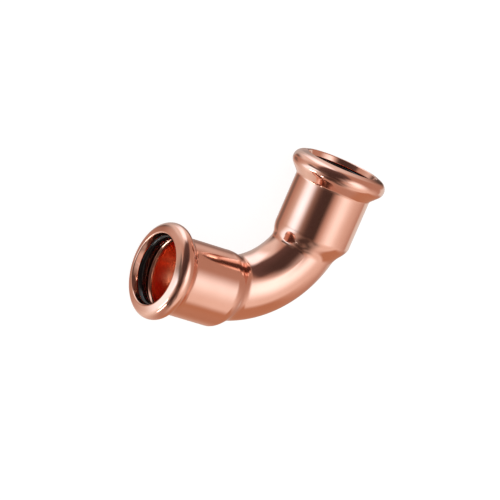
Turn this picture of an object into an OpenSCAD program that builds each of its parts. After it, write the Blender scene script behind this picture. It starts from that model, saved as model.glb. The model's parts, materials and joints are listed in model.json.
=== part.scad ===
// Press elbow for 15 mm pipe: a bent copper tube with a beaded socket and a rubber ring at each end.
// Each leg is drawn as a half section (distance from the leg's axis, distance from the point where
// the axes cross) and turned about its axis. The elbow lies as it comes to rest, on both beads and
// both socket shoulders.

/* [Pipe and socket] */
// Outside diameter of the pipe that the socket takes
pipe_d = 15; // [14:0.1:15.1]
// Gap between the pipe and the socket's bore, on the radius
bore_play = 0.15; // [0.08:0.01:0.22]
// Wall of the socket
socket_wall = 1.45; // [1.2:0.05:1.7]
// From the point where the axes cross to the front of the lip
leg_len = 36.4; // [35:0.05:42]
// From the front of the lip to the corner where the socket narrows
socket_len = 19.05; // [17:0.05:20.5]
// Slope of the narrowing cone, from the leg's axis
step_deg = 48; // [40:1:55]
// Rounding of the corner where the socket narrows
shoulder_r = 3.2; // [2:0.1:3.6]

/* [Bend] */
// Outside diameter of the bent tube
bend_d = 15; // [14.4:0.1:15.6]
// Wall of the bent tube
bend_wall = 1.5; // [1.2:0.05:1.8]
// Radius of the bend's centre line
bend_r = 21; // [19.5:0.1:23]

/* [Bead and lip] */
// Outside diameter over the bead
bead_d = 22.72; // [22.4:0.02:23.4]
// Radius of the bead's round crown
crown_r = 2.11; // [1.9:0.01:2.3]
// From the front of the lip back to the middle of the crown
crown_back = 2.37; // [2.25:0.01:2.5]
// Wall over the top of the bead
crown_wall = 1.21; // [1:0.01:1.3]
// Slope of the bead's back flank, from the leg's axis
flank_deg = 43.6; // [38:0.2:50]
// Hollow rounding between the back flank and the socket
blend_r = 1.03; // [0.6:0.01:1.5]
// Gap between the pipe and the narrowest place of the lip, on the radius
lip_play = 0.7; // [0.5:0.02:0.8]
// Slope of the lip's inside, which opens to the front, from the leg's axis
lip_deg = 20; // [16:1:24]
// Rounding of the lip's front edge
lip_r = 0.35; // [0.28:0.01:0.42]

/* [Seal ring] */
// Thickness of the round rubber section
ring_d = 2.6; // [2.4:0.02:2.7]
// Gap between the ring and its groove
ring_play = 0.05; // [0.03:0.01:0.1]
// From the front of the lip back to the middle of the ring
ring_back = 2.7; // [2.55:0.01:2.85]
// Slope of the groove's back wall, from the leg's axis
groove_deg = 72; // [66:1:76]
// Rounding where the groove's back wall meets the bore
foot_r = 1.4; // [1.2:0.05:1.7]

/* [Hidden] */
$fn = 96;

copper = [0.79, 0.49, 0.37];
rubber = [0.07, 0.07, 0.075];

bore_r = pipe_d / 2 + bore_play;
socket_r = bore_r + socket_wall;
mouth_r = pipe_d / 2 + lip_play;
tube_r = bend_d / 2;
waterway_r = tube_r - bend_wall;

// Circles of the half section, each as its middle [from the axis, from the crossing]
crown_at = [bead_d / 2 - crown_r, leg_len - crown_back];
groove_r = ring_d / 2 + ring_play;
ring_at = [bead_d / 2 - crown_wall - groove_r, leg_len - ring_back];
shoulder_at = [socket_r - shoulder_r, leg_len - socket_len + shoulder_r * tan(step_deg / 2)];

// Direction square to a flank that falls towards the bend at an angle to the axis
function square_to(deg) = [cos(deg), -sin(deg)];

// Back flank of the bead: the line square_to(flank_deg) * p = flank_line
flank_n = square_to(flank_deg);
flank_line = flank_n * crown_at + crown_r;
blend_at = [socket_r + blend_r, (flank_n[0] * (socket_r + blend_r) - flank_line - blend_r) / sin(flank_deg)];

// Inside of the lip: a line square to lip_n, through the edge where the groove comes out
lip_n = square_to(lip_deg);
groove_edge = ring_at[1] + sqrt(max(0, pow(groove_r, 2) - pow(mouth_r - ring_at[0], 2)));
lip_line = lip_n * [mouth_r, groove_edge];
function lip_inside(s) = (lip_line + sin(lip_deg) * s) / cos(lip_deg);
lip_at = [lip_inside(leg_len - lip_r) + lip_r / cos(lip_deg), leg_len - lip_r];

// Front of the bead: the line tangent to the crown and to the lip's edge
front_span = lip_at - crown_at;
front_deg = atan2(front_span[1], front_span[0]) - acos((crown_r - lip_r) / norm(front_span));
front_n = [cos(front_deg), sin(front_deg)];

// Back wall of the groove and the rounding at its foot
groove_n = square_to(groove_deg);
groove_line = groove_n * ring_at + groove_r;
foot_at = [bore_r + foot_r, (groove_n[0] * (bore_r + foot_r) - groove_line - foot_r) / sin(groove_deg)];

// The narrowing cone, outside and one wall further in, where the pipe stops
step_n = square_to(step_deg);
step_line = step_n * [socket_r, leg_len - socket_len];
stop_line = step_line - socket_wall;
// Both cones end inside the bend: the outer one in its wall, the inner one in its waterway
outer_end_r = waterway_r;
inner_end_r = waterway_r - 1;
function step_height(line, r) = (step_n[0] * r - line) / sin(step_deg);

// Rest: a plane touches the crown and the shoulder of both legs at once
rest_span = crown_at - shoulder_at;
lean = atan2(rest_span[0], rest_span[1]) + asin((crown_r - shoulder_r) / norm(rest_span));
tilt = asin(sqrt(2) * sin(lean));
tilt_axis = [-1, 1, 0];
// How far a turned circle of the section reaches when its leg's axis points up or along a direction by c
function reach(middle, radius, c) = middle[1] * c + middle[0] * sqrt(1 - c * c) + radius;
along = (1 + cos(tilt)) / 2;
side_reach = max(reach(lip_at, lip_r, along), reach(crown_at, crown_r, along));
corner_reach = reach(crown_at, crown_r, 1 - along);
across = (side_reach - corner_reach) / 2;
rest_shift = [across, across, reach(crown_at, crown_r, -sin(lean))];

// Half of a round, on the side away from the axis
module outer_half_round(middle, radius) {
    translate(middle) intersection() {
        circle(r = radius);
        translate([0, -2 * radius]) square([2 * radius, 4 * radius]);
    }
}

// Outside of a leg, from the axis out, with the mouth left open down to the ring
module outer_section() {
    difference() {
        polygon([
            [0, step_height(step_line, outer_end_r)],
            [outer_end_r, step_height(step_line, outer_end_r)],
            shoulder_at + shoulder_r * step_n,
            shoulder_at + [shoulder_r, 0],
            blend_at - [blend_r, 0],
            blend_at - blend_r * flank_n,
            crown_at + crown_r * flank_n,
            crown_at + crown_r * front_n,
            lip_at + lip_r * front_n,
            lip_at - lip_r * lip_n,
            [lip_inside(ring_at[1]), ring_at[1]],
            [0, ring_at[1]]
        ]);
        translate(blend_at) circle(r = blend_r);
    }
    translate(shoulder_at) circle(r = shoulder_r);
    outer_half_round(crown_at, crown_r);
    translate(lip_at) circle(r = lip_r);
}

// Inside of a leg: the pipe stop, the bore, and the ring's groove
module inner_section() {
    difference() {
        polygon([
            [0, step_height(stop_line, inner_end_r)],
            [inner_end_r, step_height(stop_line, inner_end_r)],
            [bore_r, step_height(stop_line, bore_r)],
            foot_at - [foot_r, 0],
            foot_at - foot_r * groove_n,
            ring_at + groove_r * groove_n,
            ring_at,
            [bore_r, ring_at[1]],
            [bore_r, ring_at[1] + groove_r],
            [0, ring_at[1] + groove_r]
        ]);
        translate(foot_at) circle(r = foot_r);
    }
    translate(ring_at) circle(r = groove_r);
}

// A half section turned about the leg that points to the front
module front_leg() {
    rotate([90, 0, 0]) rotate_extrude() children();
}

// The same about the leg that points to the side
module side_leg() {
    rotate([0, -90, 0]) rotate_extrude() children();
}

module quarter_bend(radius) {
    translate([-bend_r, -bend_r, 0]) rotate_extrude(angle = 90) translate([bend_r, 0]) circle(r = radius);
}

module at_rest() {
    translate(rest_shift) rotate(a = tilt, v = tilt_axis) children();
}

// One tube: bent, widened into two sockets, with a bead rolled at each mouth
module elbow_body() {
    color(copper) at_rest() difference() {
        union() {
            quarter_bend(tube_r);
            front_leg() outer_section();
            side_leg() outer_section();
        }
        quarter_bend(waterway_r);
        front_leg() inner_section();
        side_leg() inner_section();
    }
}

module ring_section() {
    translate(ring_at) circle(r = ring_d / 2);
}

module front_seal_ring() {
    color(rubber) at_rest() front_leg() ring_section();
}

module side_seal_ring() {
    color(rubber) at_rest() side_leg() ring_section();
}

elbow_body();
front_seal_ring();
side_seal_ring();
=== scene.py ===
# %% [markdown]
# # A copper press elbow
#
# The object is a plumber's elbow: one copper tube, bent through a right angle, with both ends widened
# into sockets. A bead is rolled round each mouth and holds a black rubber ring. A pipe is pushed in as
# far as it goes, and a pressing tool then squeezes bead and ring onto it.
#
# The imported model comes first. It is the measured frame, and everything made here sits on it. Its record
# names the two sockets as mounts, which are kept at hand.

# %% Load the frame
import json
import math

import bpy
import numpy as np
from mathutils import Matrix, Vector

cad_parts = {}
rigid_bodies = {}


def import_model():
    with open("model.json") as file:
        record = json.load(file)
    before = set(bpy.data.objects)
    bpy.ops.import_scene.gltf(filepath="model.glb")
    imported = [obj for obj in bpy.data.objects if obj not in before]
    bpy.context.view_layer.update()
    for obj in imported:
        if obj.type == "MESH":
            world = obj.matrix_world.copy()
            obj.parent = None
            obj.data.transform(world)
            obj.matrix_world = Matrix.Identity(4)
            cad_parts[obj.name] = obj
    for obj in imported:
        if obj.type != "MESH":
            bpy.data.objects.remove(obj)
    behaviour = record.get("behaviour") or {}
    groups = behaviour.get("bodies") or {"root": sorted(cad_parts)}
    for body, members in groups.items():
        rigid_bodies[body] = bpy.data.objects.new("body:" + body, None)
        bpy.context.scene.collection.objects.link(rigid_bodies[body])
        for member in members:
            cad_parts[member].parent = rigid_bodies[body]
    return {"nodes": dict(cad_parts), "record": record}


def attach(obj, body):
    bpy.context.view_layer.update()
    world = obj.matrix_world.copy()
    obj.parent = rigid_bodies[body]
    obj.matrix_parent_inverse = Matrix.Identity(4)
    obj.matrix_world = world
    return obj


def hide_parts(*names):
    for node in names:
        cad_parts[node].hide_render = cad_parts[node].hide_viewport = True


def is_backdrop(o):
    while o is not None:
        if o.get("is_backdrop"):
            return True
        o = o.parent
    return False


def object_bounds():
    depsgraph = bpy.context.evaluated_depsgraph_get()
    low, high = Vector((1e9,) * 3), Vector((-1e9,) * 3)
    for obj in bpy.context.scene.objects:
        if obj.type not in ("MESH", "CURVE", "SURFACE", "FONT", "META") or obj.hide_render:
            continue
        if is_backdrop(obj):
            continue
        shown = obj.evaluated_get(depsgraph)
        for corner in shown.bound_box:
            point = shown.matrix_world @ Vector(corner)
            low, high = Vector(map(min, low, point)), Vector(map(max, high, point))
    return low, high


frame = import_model()
cad_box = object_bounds()
mounts = {mount["name"]: mount for mount in frame["record"]["mounts"]}
print("nodes:", sorted(frame["nodes"]))

# %% [markdown]
# ## Where the two legs are
#
# Each mount has a point on the socket's axis and the direction out of its mouth. The two axes cross at one
# point. From that point and the two directions every other place on the elbow follows, so no position has
# to be typed in twice. The elbow lies a little tilted, on its beads and its socket shoulders, and the
# directions already hold that tilt.

# %% Leg axes from the mounts
MM = 0.001


def unit(vector):
    return np.asarray(vector, float) / np.linalg.norm(vector)


front_out = unit(mounts["front_socket"]["axis"])
side_out = unit(mounts["side_socket"]["axis"])
plane_up = unit(np.cross(front_out, side_out))
if plane_up[2] < 0:
    plane_up = -plane_up
front_point = np.array(mounts["front_socket"]["pos_m"])
side_point = np.array(mounts["side_socket"]["pos_m"])
# The legs stand square to each other, so the way from one point to the other splits along them
to_side = side_point - front_point
crossing = front_point + front_out * (to_side @ front_out)
print("axes cross at", (crossing / MM).round(2), "mm")

# %% [markdown]
# ## The shape of one leg, in half section
#
# A turned shape is easiest to think of as a half section: a line that goes once along the wall, given as
# distance from the axis and distance from the crossing, in millimetres. This line starts at the pipe stop
# inside, runs out along the bore, round the groove for the rubber ring, over the rolled lip and the bead,
# and back along the outside to the shoulder. The sizes come first: the pipe's, the socket's and the bend's.

# %% Sizes of socket and bend
pipe_radius = 7.5
bore_radius = mounts["front_socket"]["dims"]["r_mm"]
socket_wall = 1.45
socket_radius = bore_radius + socket_wall
leg_length = 36.4

tube_radius = 7.5
tube_wall = 1.5
waterway_radius = tube_radius - tube_wall
bend_radius = 21.0
print("radius of bore", bore_radius, "socket", socket_radius, "waterway", waterway_radius, "mm")

# %% [markdown]
# ### Bead, lip and ring
#
# The bead's crown is a round of its own, and the ring's groove is a round inside it, one wall further in.
# The words ending in back say how far something lies behind the front of the lip, and the words ending in
# play say how much room is left round a piece.

# %% Sizes of the mouth
bead_radius = 11.36
crown_round = 2.11
crown_back = 2.37
crown_wall = 1.21
lip_play = 0.35
lip_round = 0.35
ring_section = 2.6
ring_play = 0.05
ring_back = 2.7

mouth_radius = pipe_radius + lip_play
groove_round = ring_section / 2 + ring_play
crown = np.array([bead_radius - crown_round, leg_length - crown_back])
ring_middle = np.array([bead_radius - crown_wall - groove_round, leg_length - ring_back])
print("radius of mouth", mouth_radius, "bead", bead_radius, "ring", ring_middle[0].round(2), "mm")

# %% [markdown]
# ### Lines and arcs of the section
#
# Round stretches are arcs, tangent to what they join. That matters on polished metal, because a kink of one
# degree shows as a broken reflection. A few small helpers are enough. One gives the direction square to a
# flank that falls towards the bend, which is where an arc has to stop to meet it smoothly. The others find
# a place on such a flank, sample an arc, and fill straight stretches with points.

# %% Section helpers
ARC_STEP = math.radians(6)
LEAST_ARC_STEPS = 4
LINE_STEP = 0.45


def falling(slope):
    """Direction square to a flank that falls towards the bend at this slope to the axis."""
    return np.array([math.cos(slope), -math.sin(slope)])


def flank_height(slope, line, radius):
    """Where the flank, falling(slope) @ point = line, is at this distance from the axis."""
    return (math.cos(slope) * radius - line) / math.sin(slope)


def arc(middle, radius, start, end):
    """Points on an arc from one direction to another, in radians from straight out."""
    count = max(LEAST_ARC_STEPS, math.ceil(abs(end - start) / ARC_STEP))
    turn = np.linspace(start, end, count + 1)
    return middle + radius * np.stack([np.cos(turn), np.sin(turn)], axis=1)


def with_lines(points):
    """Adds points along the long straight stretches, so that faces stay about as long as wide."""
    filled = [points[0]]
    for near, far in zip(points[:-1], points[1:]):
        count = max(1, math.ceil(np.linalg.norm(far - near) / LINE_STEP))
        filled += [near + (far - near) * i / count for i in range(1, count + 1)]
    return np.array(filled)


print("arcs turn by", round(math.degrees(ARC_STEP)), "degrees a step, lines go by", LINE_STEP, "mm")

# %% [markdown]
# ### Behind the bead and behind the ring
#
# On the outside the bead falls back to the socket, and on the inside the groove's back wall falls to the
# bore. Both end in a hollow rounding. Its middle is found from two distances, one to the flank and one to
# the cylinder that the flank runs into.

# %% Back flank and back wall
flank_slope = math.radians(43.6)
groove_slope = math.radians(72)
blend_round = 1.03
foot_round = 1.4


def hollow_middle(slope, line, cylinder_radius, radius):
    """Middle of a hollow rounding that touches a falling flank and a cylinder."""
    from_axis = cylinder_radius + radius
    return np.array([from_axis, flank_height(slope, line + radius, from_axis)])


flank_line = falling(flank_slope) @ crown + crown_round
blend = hollow_middle(flank_slope, flank_line, socket_radius, blend_round)
groove_line = falling(groove_slope) @ ring_middle + groove_round
foot = hollow_middle(groove_slope, groove_line, bore_radius, foot_round)
print("hollow behind the bead at", blend.round(2), "and behind the ring at", foot.round(2), "mm")

# %% [markdown]
# ### The lip
#
# The lip's inside opens to the front like a shallow funnel, so that the pipe finds its way in. Its line goes
# through the edge where the groove comes out. A small round takes that edge off: it touches the groove's
# circle and the lip's line. The front of the bead is the line tangent to the crown and to the lip's round.

# %% Inside of the lip
lip_slope = math.radians(20)
lip_back_round = 0.2
lip_square = falling(lip_slope)
lip_along = np.array([math.sin(lip_slope), math.cos(lip_slope)])
groove_edge = ring_middle[1] + math.sqrt(groove_round ** 2 - (mouth_radius - ring_middle[0]) ** 2)
lip_line = lip_square @ np.array([mouth_radius, groove_edge])

lip_clear = lip_line + lip_back_round - lip_square @ ring_middle
lip_back_far = math.sqrt((groove_round + lip_back_round) ** 2 - lip_clear ** 2)
lip_back = ring_middle + lip_square * lip_clear + lip_along * lip_back_far
lip_back_turn = math.atan2(lip_back[1] - ring_middle[1], lip_back[0] - ring_middle[0])
print("small round behind the lip at", lip_back.round(2), "mm")

# %% Front of the lip and the bead
lip_height = leg_length - lip_round
lip_out = (lip_line + math.sin(lip_slope) * lip_height + lip_round) / math.cos(lip_slope)
lip = np.array([lip_out, lip_height])
front_span = lip - crown
front_turn = math.atan2(front_span[1], front_span[0])
front_turn -= math.acos((crown_round - lip_round) / np.linalg.norm(front_span))
print("lip's round at", lip.round(2), "mm, front faces", round(math.degrees(front_turn)), "degrees forward")

# %% [markdown]
# ### The shoulder and the stop
#
# The socket narrows in a cone. Inside, another cone stops the pipe. The turned outline ends a little before
# either corner, because from there on the wall is no longer the same all round the leg.

# %% Cones of the shoulder and the stop
step_slope = math.radians(48)
shoulder_back = 18.8
stop_back = 19.05
SHOULDER_ROOM = 2.2
STOP_ROOM = 0.6
shoulder_corner = leg_length - shoulder_back
stop_corner = leg_length - stop_back
step_line = falling(step_slope) @ np.array([socket_radius, shoulder_corner])
stop_line = falling(step_slope) @ np.array([socket_radius, stop_corner]) - socket_wall
step_start = shoulder_corner + SHOULDER_ROOM
stop_start = flank_height(step_slope, stop_line, bore_radius) + STOP_ROOM
print("outline ends at", round(step_start, 2), "mm outside and", round(stop_start, 2), "mm inside")

# %% [markdown]
# ### The whole outline
#
# Now the line is put together, from the bore inside to the socket outside. Directions are measured from
# straight out. An arc that shows its side towards the axis, such as a hollow, has half a turn in them.

# %% Outline of a leg
HALF_TURN = math.pi
leg_outline = with_lines(np.concatenate([
    [[bore_radius, stop_start]],
    arc(foot, foot_round, HALF_TURN, HALF_TURN - groove_slope),
    arc(ring_middle, groove_round, -groove_slope, lip_back_turn),
    arc(lip_back, lip_back_round, lip_back_turn - HALF_TURN, -HALF_TURN - lip_slope),
    arc(lip, lip_round, HALF_TURN - lip_slope, front_turn),
    arc(crown, crown_round, front_turn, -flank_slope),
    arc(blend, blend_round, HALF_TURN - flank_slope, HALF_TURN),
    [[socket_radius, step_start]],
]))
print("leg outline:", len(leg_outline), "points")

# %% [markdown]
# ## The step from socket to bend
#
# Where the socket narrows, the tube has already begun to bend. So the wall there isn't a turned shape: it
# is a cone that runs into a bent tube. A mesh boolean would give a hard crease and messy faces. Here each
# ring of points is worked out instead. Along every direction round the leg the bent tube and the cone
# each have a distance from the axis, and the wall takes the larger of the two, with a soft change from
# one to the other. That is how the drawn metal flows in the real fitting.

# %% Distances round a leg
AROUND = 144
HALVINGS = 40
FARTHEST = 0.9 * bend_radius
turn_around = np.arange(AROUND) * 2 * math.pi / AROUND
outward = np.cos(turn_around)
upward = np.sin(turn_around)


def bent_tube_distance(height, radius):
    """Distance from the leg's axis to a bent tube, in every direction round the axis, by halving."""
    low = np.zeros(AROUND)
    high = np.full(AROUND, FARTHEST)
    before_bend = bend_radius - height
    for _ in range(HALVINGS):
        middle = (low + high) / 2
        from_bend = np.hypot(bend_radius + middle * outward, before_bend) - bend_radius
        inside = np.hypot(from_bend, middle * upward) < radius
        low = np.where(inside, middle, low)
        high = np.where(inside, high, middle)
    return low


def soft_larger(first, second, soft):
    """The larger of two distances, rounded where they are nearly equal."""
    near = np.clip(soft - np.abs(first - second), 0, None) / soft
    return np.maximum(first, second) + near * near * soft / 4


def soft_smaller(first, second, soft):
    return -soft_larger(-first, -second, soft)


print("points round the tube:", AROUND)

# %% [markdown]
# ### Soft and tight places of the step
#
# On the inner side of the bend the metal flows in a wide hollow, and on the outer side the foot of the step
# is tighter, so the softness changes round the leg. It also grows from the corner down, so that the socket
# stays straight up to its shoulder. The inside has one small softness all round.

# %% Rings of the step
RING_SPACING = 0.14
FOOT_RUN = 3.2
CORNER_SOFT = 1.5
OUTER_FOOT_SOFT = 1.5
INNER_FOOT_SOFT = 3.0
STOP_SOFT = 0.5
STEP_RUN = 5.4
STOP_RUN = 3.7


def step_rings(start, end, line, cylinder_radius, tube, corner_soft, foot_soft):
    """Rings from the socket down the cone to the bent tube: distances round the axis, and height."""
    count = math.ceil(abs(end - start) / RING_SPACING)
    rings = []
    for height in np.linspace(start, end, count + 1)[1:]:
        cone = (line + math.sin(step_slope) * height) / math.cos(step_slope)
        socket = soft_smaller(np.full(AROUND, cone), cylinder_radius, corner_soft)
        share = min(1.0, (start - height) / FOOT_RUN)
        soft = corner_soft + (foot_soft - corner_soft) * share * share * (3 - 2 * share)
        rings.append((soft_larger(socket, bent_tube_distance(height, tube), soft), height))
    return rings


foot_soft = OUTER_FOOT_SOFT + (INNER_FOOT_SOFT - OUTER_FOOT_SOFT) * (1 - outward) / 2
outer_step = step_rings(step_start, shoulder_corner - STEP_RUN, step_line,
                        socket_radius, tube_radius, CORNER_SOFT, foot_soft)
inner_step = step_rings(stop_start, stop_corner - STOP_RUN, stop_line,
                        bore_radius, waterway_radius, STOP_SOFT, STOP_SOFT)
print("step rings:", len(outer_step), "outside,", len(inner_step), "inside")

# %% [markdown]
# ## The bend
#
# A bent tube is a part of a torus, so a point on it has two angles: how far round the bend, and how far
# round the tube. The last ring of each leg already lies on the torus. Sharing out the angles evenly between
# the two last rings keeps every new point exactly on it, and the faces stay even all the way.

# %% Rings in space
BEND_STEPS = 72
QUARTER_TURN = math.pi / 2
bend_middle = crossing + (front_out + side_out) * bend_radius * MM


def in_space(distance, height, out_direction, leg_out):
    """A ring round a leg, from distances round the axis, in metres."""
    across = np.outer(outward * distance, out_direction) + np.outer(upward * distance, plane_up)
    return crossing + (across + height * leg_out) * MM


def bend_rings(last_ring, radius):
    """Rings on the torus between the last ring of the front leg and that of the side leg."""
    distance, height = last_ring
    along = np.arctan2(bend_radius - height, bend_radius + distance * outward)
    from_bend = np.hypot(bend_radius + distance * outward, bend_radius - height) - bend_radius
    around = np.arctan2(distance * upward, from_bend)
    reach = bend_radius + radius * np.cos(around)
    rise = np.outer(radius * np.sin(around), plane_up)
    rings = []
    for share in np.linspace(0, 1, BEND_STEPS + 1)[1:-1]:
        angle = along + (QUARTER_TURN - 2 * along) * share
        flat = np.outer(np.cos(angle) * reach, -side_out) + np.outer(np.sin(angle) * reach, -front_out)
        rings.append(bend_middle + (flat + rise) * MM)
    return rings


print("bend turns about", (bend_middle / MM).round(2), "mm")

# %% [markdown]
# ## One closed skin
#
# The body's surface is one closed sleeve: out along the inside of the front leg, over its lip, back along
# the outside, round the bend, over the other lip, and home through the waterway. Joining each ring to the
# next with four-sided faces gives a watertight mesh with no caps and no loose edges. Every point also keeps
# two facts for the materials: its place on the tube, along it and round it, and whether it is inside.

# %% Skin helpers
def ring_faces(count, size):
    """Four-sided faces that join each ring of points to the next, and the last to the first."""
    faces = []
    for i in range(count):
        here = i * size
        there = (i + 1) % count * size
        for j in range(size):
            k = (j + 1) % size
            faces.append((here + j, there + j, there + k, here + k))
    return faces


def keep_fact(mesh, name, kind, field, values):
    attribute = mesh.attributes.new(name, kind, "POINT")
    attribute.data.foreach_set(field, values.ravel().astype(np.float32))


def sleeve(name, rings, along, spread, inside):
    """A closed mesh through a loop of rings, with each point's place on the tube as an attribute."""
    count = len(rings)
    size = len(rings[0])
    mesh = bpy.data.meshes.new(name)
    mesh.from_pydata(np.concatenate(rings).tolist(), [], ring_faces(count, size))
    turn = np.arange(size) * 2 * math.pi / size
    place = [np.tile(np.cos(turn) * spread, count), np.tile(np.sin(turn) * spread, count)]
    place.append(np.repeat(along, size))
    keep_fact(mesh, "tube_place", "FLOAT_VECTOR", "vector", np.stack(place, axis=1))
    keep_fact(mesh, "inside", "FLOAT", "value", np.repeat(inside, size))
    mesh.validate()
    mesh.shade_smooth()
    piece = bpy.data.objects.new(name, mesh)
    bpy.context.collection.objects.link(piece)
    return piece


def turned_outwards(piece):
    """Makes the faces look outwards, by the sign of the volume that they enclose, and gives that volume."""
    volume = 0.0
    for face in piece.data.polygons:
        volume += face.center.dot(face.normal) * face.area / 3
    if volume < 0:
        piece.data.flip_normals()
    return abs(volume)


# %% [markdown]
# ### The loop of rings
#
# The two legs are the same rings, once round the front axis and once round the side axis, in opposite
# order. The place along the tube is measured from ring to ring. A point counts as inside from the waterway
# up to where the outline leaves the bore for the groove.

# %% Rings of the body
GROOVE_START = 0.3
leg_rings = [(np.full(AROUND, radius), height) for radius, height in leg_outline]
half_rings = inner_step[::-1] + leg_rings + outer_step
front_half = [in_space(distance, height, -side_out, front_out) for distance, height in half_rings]
side_half = [in_space(distance, height, -front_out, side_out) for distance, height in half_rings[::-1]]
outer_bend = bend_rings(outer_step[-1], tube_radius)
inner_bend = bend_rings(inner_step[-1], waterway_radius)
body_rings = front_half + outer_bend + side_half + inner_bend[::-1]

ring_middles = np.array([ring.mean(axis=0) for ring in body_rings])
hops = np.linalg.norm(np.diff(ring_middles, axis=0), axis=1)
body_along = np.concatenate([[0], np.cumsum(hops)])
bore_end = int(np.argmax(leg_outline[:, 0] > bore_radius + GROOVE_START))
half_inside = np.zeros(len(half_rings))
half_inside[:len(inner_step) + bore_end] = 1.0
body_inside = np.concatenate([
    half_inside,
    np.zeros(len(outer_bend)),
    half_inside[::-1],
    np.ones(len(inner_bend)),
])
print("body rings:", len(body_rings))

# %% [markdown]
# ### The copper body
#
# The sleeve becomes a piece. It rides on the only body there is and stands for the solid of the imported
# model.

# %% Copper body
body = sleeve("copper_body", body_rings, body_along, tube_radius * MM, body_inside)
body_volume = turned_outwards(body)
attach(body, "root")
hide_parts("elbow_body")
print("copper body:", len(body.data.polygons), "faces,", round(body_volume / MM ** 3), "mm3")

# %% [markdown]
# ## The rubber rings
#
# A seal ring is a torus of round section that sits in the bead's groove and stands a little into the mouth.
# Blender has a ready torus, but the same sleeve as for the body puts it straight on the leg's axis: small
# circles, one after another, round that axis.

# %% Seal rings
RING_STEPS = 200
SECTION_STEPS = 40
section_turn = np.arange(SECTION_STEPS) * 2 * math.pi / SECTION_STEPS
section_out = ring_middle[0] + ring_section / 2 * np.cos(section_turn)
section_height = ring_middle[1] + ring_section / 2 * np.sin(section_turn)
ring_turn = np.arange(RING_STEPS) * 2 * math.pi / RING_STEPS


def seal_ring(name, node, out_direction, leg_out):
    circles = []
    for turn in ring_turn:
        spoke = math.cos(turn) * out_direction + math.sin(turn) * plane_up
        circle = np.outer(section_out, spoke) + np.outer(section_height, leg_out)
        circles.append(crossing + circle * MM)
    around = ring_turn * ring_middle[0] * MM
    piece = sleeve(name, circles, around, ring_section / 2 * MM, np.zeros(RING_STEPS))
    turned_outwards(piece)
    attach(piece, "root")
    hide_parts(node)
    return piece


front_seal = seal_ring("front_seal", "front_seal_ring", -side_out, front_out)
side_seal = seal_ring("side_seal", "side_seal_ring", -front_out, side_out)
print("seal rings:", len(front_seal.data.polygons), "faces each")

# %% [markdown]
# ## Node helpers
#
# Materials here are built from nodes only, with no pictures. A helper that adds a node, sets its values and
# joins its inputs keeps each material short enough to read as a recipe.

# %% Node helper
class Recipe:
    """A node tree that is filled line by line."""

    def __init__(self, owner):
        owner.use_nodes = True
        self.tree = owner.node_tree
        self.tree.nodes.clear()

    def add(self, kind, links=None, values=None, **settings):
        node = self.tree.nodes.new(kind)
        for key, value in settings.items():
            setattr(node, key, value)
        for key, value in (values or {}).items():
            node.inputs[key].default_value = value
        for key, source in (links or {}).items():
            self.tree.links.new(source, node.inputs[key])
        return node

    def math(self, operation, *inputs):
        node = self.add("ShaderNodeMath", operation=operation)
        for socket, value in zip(node.inputs, inputs):
            if isinstance(value, (int, float)):
                socket.default_value = value
            else:
                self.tree.links.new(value, socket)
        return node.outputs[0]

    def noise(self, place, scale, detail, rough=0.5):
        values = {"Scale": scale, "Detail": detail, "Roughness": rough}
        return self.add("ShaderNodeTexNoise", {"Vector": place}, values).outputs["Fac"]

    def fit(self, value, low, high, from_low, from_high, shape="LINEAR"):
        values = {"From Min": from_low, "From Max": from_high, "To Min": low, "To Max": high}
        node = self.add("ShaderNodeMapRange", {"Value": value}, values, interpolation_type=shape)
        return node.outputs["Result"]

    def blend(self, share, first, second):
        node = self.add("ShaderNodeMix", {"Factor": share}, data_type="RGBA")
        colour_sockets = [socket for socket in node.inputs if socket.type == "RGBA"]
        for socket, colour in zip(colour_sockets, (first, second)):
            if isinstance(colour, tuple):
                socket.default_value = (*colour, 1)
            else:
                self.tree.links.new(colour, socket)
        return next(socket for socket in node.outputs if socket.type == "RGBA")

    def surface(self, colour, roughness, relief, values):
        """Ends a material: bump from a relief in metres, the shader and the output."""
        bump = self.add("ShaderNodeBump", {"Height": relief}, {"Strength": 1.0, "Distance": 1.0})
        links = {"Base Color": colour, "Roughness": roughness, "Normal": bump.outputs["Normal"]}
        shader = self.add("ShaderNodeBsdfPrincipled", links, values)
        self.add("ShaderNodeOutputMaterial", {"Surface": shader.outputs["BSDF"]})


# %% [markdown]
# ## Bright copper
#
# Drawn copper tube is nearly a mirror, but not quite. Drawing leaves very fine lines along the tube, forming
# leaves a soft unevenness, and hands leave faint clouds. So roughness and bump vary a little, and the colour
# drifts between a pinker and a browner copper. The lines follow the tube round the bend, because they use
# the place that the mesh stored and not the position in space. The inside is duller than the outside. Its
# colour is also painted redder and brighter, a painted glow for the light that goes from wall to wall in
# there, which comes out redder still.

# %% Copper colours and sizes
PINK_COPPER = (0.94, 0.585, 0.46)
BROWN_COPPER = (0.91, 0.555, 0.43)
# The waterway's colour is painted redder and brighter: a painted glow of light bounced inside the tube.
WATERWAY_GLOW_COPPER = (0.995, 0.535, 0.375)
# Marks to the metre, and how far a drawn line is pulled out along the tube
LINE_SCALE = 9000
LINE_STRETCH = (1.0, 1.0, 0.03)
CLOUD_SCALE = 140
SWELL_SCALE = 90
# Roughness of the clean polish, and what clouds, lines and the duller inside add to it
POLISH = 0.07
CLOUD_HAZE = 0.04
LINE_HAZE = 0.03
INSIDE_HAZE = 0.09
# Depths in metres
LINE_DEPTH = 0.0000006
SWELL_DEPTH = 0.00003
print("copper roughness:", POLISH, "to", round(POLISH + CLOUD_HAZE + LINE_HAZE + INSIDE_HAZE, 2))


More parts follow.
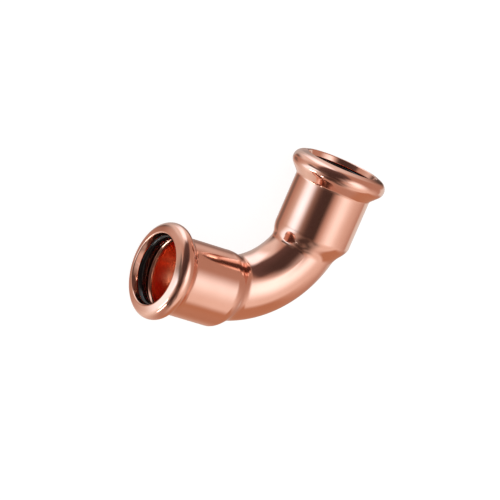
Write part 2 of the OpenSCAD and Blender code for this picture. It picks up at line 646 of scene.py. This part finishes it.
# %% Copper material
def copper_finish():
    material = bpy.data.materials.new("bright_copper")
    recipe = Recipe(material)
    place = recipe.add("ShaderNodeAttribute", attribute_name="tube_place").outputs["Vector"]
    inside = recipe.add("ShaderNodeAttribute", attribute_name="inside").outputs["Fac"]
    in_room = recipe.add("ShaderNodeTexCoord").outputs["Object"]
    drawn = recipe.add("ShaderNodeMapping", {"Vector": place}, {"Scale": LINE_STRETCH}).outputs["Vector"]
    lines = recipe.noise(drawn, LINE_SCALE, 2.0)
    clouds = recipe.noise(in_room, CLOUD_SCALE, 4.0, 0.6)
    swell = recipe.noise(in_room, SWELL_SCALE, 1.0)
    drift = recipe.fit(clouds, 0.0, 1.0, 0.3, 0.7, "SMOOTHSTEP")
    colour = recipe.blend(drift, PINK_COPPER, BROWN_COPPER)
    # Inside, the colour turns to the painted glow of the waterway.
    colour = recipe.blend(inside, colour, WATERWAY_GLOW_COPPER)
    cloudy = recipe.fit(clouds, 0.0, 1.0, 0.35, 0.75)
    roughness = recipe.math("MULTIPLY_ADD", cloudy, CLOUD_HAZE, POLISH)
    roughness = recipe.math("MULTIPLY_ADD", lines, LINE_HAZE, roughness)
    roughness = recipe.math("MULTIPLY_ADD", inside, INSIDE_HAZE, roughness)
    swelling = recipe.math("MULTIPLY", swell, SWELL_DEPTH)
    relief = recipe.math("MULTIPLY_ADD", lines, LINE_DEPTH, swelling)
    recipe.surface(colour, roughness, relief, {"Metallic": 1.0})
    return material


bright_copper = copper_finish()
body.data.materials.append(bright_copper)
print("copper:", len(bright_copper.node_tree.nodes), "nodes")

# %% [markdown]
# ## Seal rubber
#
# The ring is moulded rubber with a trace of grease from the works. It is black and softly shiny. Smears of
# grease change its shine from place to place, and a fine grain breaks up the highlight.

# %% Rubber material
CLEAN_RUBBER = (0.004, 0.004, 0.0045)
SMEARED_RUBBER = (0.009, 0.0085, 0.0085)
SMEAR_SCALE = 420
GRAIN_SCALE = 6000
SHINE = (0.04, 0.13)
SMEAR_DEPTH = 0.00012
GRAIN_DEPTH = 0.000002


def rubber_finish():
    material = bpy.data.materials.new("seal_rubber")
    recipe = Recipe(material)
    in_room = recipe.add("ShaderNodeTexCoord").outputs["Object"]
    smears = recipe.noise(in_room, SMEAR_SCALE, 3.0, 0.6)
    grain = recipe.noise(in_room, GRAIN_SCALE, 2.0)
    colour = recipe.blend(smears, CLEAN_RUBBER, SMEARED_RUBBER)
    roughness = recipe.fit(smears, *SHINE, 0.3, 0.7)
    smearing = recipe.math("MULTIPLY", smears, SMEAR_DEPTH)
    relief = recipe.math("MULTIPLY_ADD", grain, GRAIN_DEPTH, smearing)
    recipe.surface(colour, roughness, relief, {"Specular IOR Level": 0.5})
    return material


seal_rubber = rubber_finish()
front_seal.data.materials.append(seal_rubber)
side_seal.data.materials.append(seal_rubber)
print("rubber:", len(seal_rubber.node_tree.nodes), "nodes")

# %% [markdown]
# ## The studio
#
# A polished metal has no look of its own: it shows the room. Lamps, cards and curtains could be objects, but
# each would have to be hidden from the camera. So the studio is drawn straight into the world as soft-edged
# patches, painted one over another, each with a direction, a size and a colour. White paper lies to the left,
# to the right and behind, with painted shade on it. Below, it carries a painted shadow of the elbow and a
# painted copper-brown bounce of light off the elbow. A dark curtain hangs in front, a broad softbox over the
# back, and bright lamps stand low. Two small ones make the glints on rubber and bead. The rest is a warm
# half-lit room.
#
# Directions and sizes are in degrees: an azimuth, from the front round towards the right, a height above the
# horizon, and half sizes before the patch is turned. A middle below -90 only brings the patch's upper edge to
# the right height.

# %% What stands in the studio
ROOM = (0.48, 0.29, 0.23)
PATCHES = [
    # name, azimuth, height, half width, half height, soft edge, turn, colour
    ("ceiling", 3, 88, 188, 8, 26, 7, (0.925, 0.841, 0.832)),
    ("back_softbox", 171, 60, 69, 21, 19, 10, (1.45, 1.563, 1.667)),
    ("right_wall", 126, 36, 52, 28, 28, -29, (0.886, 0.728, 0.668)),
    # Painted bounce light and shade: the paper low on the right shown copper-brown, as lit by light off the
    # elbow and shaded by it.
    ("wall_foot", 139, -27, 18, 44, 8, 5, (0.508, 0.263, 0.167)),
    ("shade_left", -82, -56, 48, 24, 12, 17, (0.044, 0.034, 0.031)),
    ("shade_behind", -151, -51, 8, 15, 13, -58, (0.019, 0.015, 0.013)),
    ("curtain_seam", 26, 2, 45, 3, 5, 25, (0.049, 0.037, 0.034)),
    ("paper_right", 80, -51, 110, 16, 28, -27, (0.859, 0.778, 0.729)),
    ("paper_left", -75, -32, 33, 43, 15, -58, (0.843, 0.775, 0.759)),
    ("curtain_near", -57, 33, 45, 26, 7, 10, (0.133, 0.08, 0.075)),
    ("curtain_mid", -23, 52, 67, 28, 22, 0, (0.068, 0.041, 0.037)),
    ("curtain_far", 60, 56, 41, 6, 18, -17, (0.01, 0.007, 0.007)),
    ("left_lamp", -82, -27, 15, 27, 8, -21, (1.449, 1.574, 1.781)),
    ("front_lamp", 16, -10, 11, 29, 11, 42, (1.428, 1.873, 2.279)),
    ("lamp_gap", -4, 13, 9, 27, 5, -12, (0.125, 0.094, 0.084)),
    # Painted shadow: the paper under the elbow shown grey, where the elbow keeps the light off.
    ("paper_below", 169, -112, 134, 29, 17, 21, (0.551, 0.539, 0.536)),
    ("lamp_side", 38, -15, 14, 29, 28, 36, (1.055, 1.076, 1.087)),
    ("curtain_hem", 67, 32, 27, 9, 14, -22, (0.038, 0.029, 0.026)),
    ("curtain_fold", 49, 33, 14, 18, 10, 0, (0.07, 0.044, 0.038)),
    ("paper_behind", 182, -38, 15, 22, 6, 0, (0.76, 0.74, 0.72)),
    ("shade_below", 6, -70, 22, 10, 6, 0, (0.24, 0.17, 0.145)),
    ("spot_lamp", 33, -8, 4, 10, 2, 20, (4.5, 4.6, 4.7)),
    ("strip_lamp", 54, -2, 2, 13, 1, 18, (8.0, 8.2, 8.4)),
]
print("studio patches:", len(PATCHES))

# %% [markdown]
# ### One patch
#
# A patch is a mask: one inside a turned rectangle of angles and nothing outside, with a soft edge. The
# difference in azimuth is wrapped, so that a patch may lie across the back, where the azimuth jumps.

# %% Patch helpers
def soft_within(recipe, offset, half, soft):
    """One inside a stretch of angles and nothing outside, with a soft edge."""
    away = recipe.math("ABSOLUTE", offset)
    return recipe.fit(away, 1.0, 0.0, math.radians(half - soft), math.radians(half + soft), "SMOOTHSTEP")


def patch_mask(recipe, azimuth, height, patch):
    at_azimuth, at_height, half_width, half_height, soft, turn = patch
    aside = recipe.math("SUBTRACT", azimuth, math.radians(at_azimuth))
    aside = recipe.math("WRAP", aside, math.pi, -math.pi)
    above = recipe.math("SUBTRACT", height, math.radians(at_height))
    level = math.cos(math.radians(turn))
    slant = math.sin(math.radians(turn))
    across = recipe.math("MULTIPLY_ADD", above, slant, recipe.math("MULTIPLY", aside, level))
    up = recipe.math("MULTIPLY_ADD", aside, -slant, recipe.math("MULTIPLY", above, level))
    wide = soft_within(recipe, across, half_width, soft)
    tall = soft_within(recipe, up, half_height, soft)
    return recipe.math("MULTIPLY", wide, tall)


# %% [markdown]
# ### The world
#
# The world looks different to different rays. The camera sees white paper, at a strength of 1, which is
# white and adds no light to the elbow. Rays off metal or through glass see the studio. All others see a
# plain soft light, so that the floor is lit evenly.

# %% World
WHITE = (1, 1, 1, 1)
PLAIN_LIGHT = (0.7, 0.68, 0.67, 1)


def studio_world():
    world = bpy.data.worlds.new("studio")
    recipe = Recipe(world)
    direction = recipe.add("ShaderNodeTexCoord").outputs["Generated"]
    parts = recipe.add("ShaderNodeSeparateXYZ", {"Vector": direction}).outputs
    azimuth = recipe.math("ARCTAN2", parts["X"], recipe.math("MULTIPLY", parts["Y"], -1.0))
    height = recipe.math("ARCSINE", parts["Z"])
    colour = ROOM
    for name, *patch, patch_colour in PATCHES:
        colour = recipe.blend(patch_mask(recipe, azimuth, height, patch), colour, patch_colour)
        colour.node.label = name
    studio = recipe.add("ShaderNodeBackground", {"Color": colour}, {"Strength": 1.0})
    paper = recipe.add("ShaderNodeBackground", values={"Color": WHITE, "Strength": 1.0})
    plain = recipe.add("ShaderNodeBackground", values={"Color": PLAIN_LIGHT, "Strength": 1.0})
    ray = recipe.add("ShaderNodeLightPath").outputs
    mirrored = recipe.math("MAXIMUM", ray["Is Glossy Ray"], ray["Is Transmission Ray"])
    camera_ray = ray["Is Camera Ray"]
    lit = recipe.add("ShaderNodeMixShader", {0: mirrored, 1: plain.outputs[0], 2: studio.outputs[0]})
    seen = recipe.add("ShaderNodeMixShader", {0: camera_ray, 1: lit.outputs[0], 2: paper.outputs[0]})
    recipe.add("ShaderNodeOutputWorld", {"Surface": seen.outputs[0]})
    return world


world = studio_world()
bpy.context.scene.world = world
print("world:", len(world.node_tree.nodes), "nodes")

# %% [markdown]
# ## The floor
#
# The floor is a sheet of white paper. The camera sees it almost as bright as the background, so that it runs
# into the white without an edge, and a share of real shading keeps a soft shadow under the elbow. The metal
# doesn't show this sheet: it shows the paper as the world draws it, lit and shaded, because one even white
# leaves the underside of the elbow flat.

# %% Floor
FLOOR_HALF = 3.0
PAPER = (0.85, 0.85, 0.85, 1)
SHADING_SHARE = (0.32, 0.32, 0.32, 1)
PAPER_GLOW = 0.86


def paper_finish():
    material = bpy.data.materials.new("white_paper")
    recipe = Recipe(material)
    shade = recipe.add("ShaderNodeBsdfDiffuse", values={"Color": SHADING_SHARE})
    glow = recipe.add("ShaderNodeEmission", values={"Color": WHITE, "Strength": PAPER_GLOW})
    bright = recipe.add("ShaderNodeAddShader", {0: shade.outputs[0], 1: glow.outputs[0]})
    plain = recipe.add("ShaderNodeBsdfDiffuse", values={"Color": PAPER})
    camera_ray = recipe.add("ShaderNodeLightPath").outputs["Is Camera Ray"]
    seen = recipe.add("ShaderNodeMixShader", {0: camera_ray, 1: plain.outputs[0], 2: bright.outputs[0]})
    recipe.add("ShaderNodeOutputMaterial", {"Surface": seen.outputs[0]})
    return material


def paper_floor(half):
    mesh = bpy.data.meshes.new("floor")
    corners = [(-half, -half, 0), (half, -half, 0), (half, half, 0), (-half, half, 0)]
    mesh.from_pydata(corners, [], [(0, 1, 2, 3)])
    mesh.materials.append(paper_finish())
    floor = bpy.data.objects.new("floor", mesh)
    bpy.context.collection.objects.link(floor)
    floor.visible_glossy = False
    return floor


floor = paper_floor(FLOOR_HALF)
floor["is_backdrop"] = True
print("floor:", 2 * FLOOR_HALF, "m wide")

# %% [markdown]
# ## Light inside the tube
#
# Light that enters a mouth goes from wall to wall before it comes out, and each bounce on copper makes it
# redder. That is why the waterway glows red in the photograph. Blender stops following light after a few
# bounces, so here it may go on for longer. The Standard view shows colours as they are written.

# %% Bounces and view
MOST_BOUNCES = 32
scene = bpy.context.scene
scene.cycles.max_bounces = MOST_BOUNCES
scene.cycles.glossy_bounces = MOST_BOUNCES
scene.view_settings.view_transform = "Standard"
print("bounces:", scene.cycles.glossy_bounces, "view:", scene.view_settings.view_transform)

# %% [markdown]
# ## The camera
#
# The photograph looks down on the elbow from far away, with a long lens and turned on its side: the elbow's
# flat side faces the viewer and its front socket points left. Azimuth, height and roll say that in plain
# angles. The distance sets the perspective, and the lens sets the size in the picture.

# %% Camera
VIEW_AZIMUTH = math.radians(-3.511)
VIEW_HEIGHT = math.radians(64.604)
VIEW_ROLL = math.radians(-112.395)
VIEW_DISTANCE = 0.84587
VIEW_TARGET = np.array([2.593, 2.936, 1.329]) * MM
LENS_MM = 262.98
SENSOR_MM = 36.0
FAR_CLIP = 20.0


def photo_camera():
    data = bpy.data.cameras.new("photo_camera")
    data.sensor_width = SENSOR_MM
    data.lens = LENS_MM
    data.clip_end = FAR_CLIP
    camera = bpy.data.objects.new("photo_camera", data)
    bpy.context.collection.objects.link(camera)
    level = math.cos(VIEW_HEIGHT)
    to_right = math.sin(VIEW_AZIMUTH) * level
    to_back = -math.cos(VIEW_AZIMUTH) * level
    towards = np.array([to_right, to_back, math.sin(VIEW_HEIGHT)])
    level_right = unit(np.cross(-towards, (0, 0, 1)))
    level_up = np.cross(level_right, -towards)
    up = math.cos(VIEW_ROLL) * level_up + math.sin(VIEW_ROLL) * level_right
    right = np.cross(-towards, up)
    stand = VIEW_TARGET + towards * VIEW_DISTANCE
    place = np.eye(4)
    place[:3] = np.stack([right, up, towards, stand], axis=1)
    camera.matrix_world = Matrix(place.tolist())
    return camera


camera = photo_camera()
bpy.context.scene.camera = camera
print("camera at", [round(value, 3) for value in camera.matrix_world.translation], "m")

# %% [markdown]
#
# The looks never change the object's size. Both boxes are printed, the imported model's and the finished
# one's, so that they can be compared.

# %% Sizes of both boxes
def plain_box(corners):
    return [[float(value) for value in corner] for corner in corners]


visual_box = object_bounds()
for name, box in (("packed", cad_box), ("finished", visual_box)):
    low, high = np.array(plain_box(box))
    print(name, "size", ((high - low) / MM).round(2), "mm")
